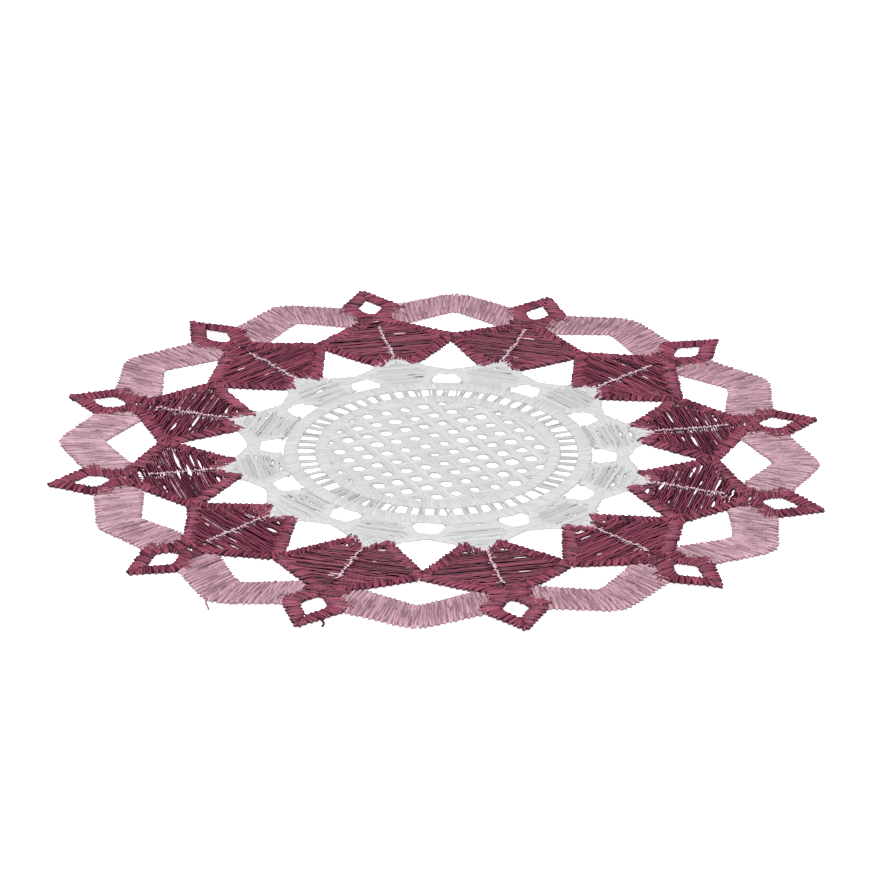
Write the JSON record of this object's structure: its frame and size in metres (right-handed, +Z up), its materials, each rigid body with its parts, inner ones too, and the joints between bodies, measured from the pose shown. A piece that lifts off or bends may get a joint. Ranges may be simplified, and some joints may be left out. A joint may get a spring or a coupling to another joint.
{
  "type": "lace doily",
  "caption": "Round openwork lace doily with pointed picots, an arched band, leaf and petal motifs and a net centre, to lie flat under a vase or dish.",
  "frame": {"origin": "centre of the outline's box, on the surface that the doily lies on", "axes": "+Z up out of the flat cloth; +X to the right and +Y away as the doily is seen from its front"},
  "size_m": [0.175, 0.1748, 0.0022],
  "materials": {
    "plum_thread": "glossy polyester embroidery thread in satin stitch",
    "pink_thread": "dusty pink polyester embroidery thread in satin stitch",
    "white_thread": "white polyester embroidery thread in satin stitch and net"
  },
  "bodies": {
    "root": {"doily": "plum_thread"}
  },
  "joints": []
}
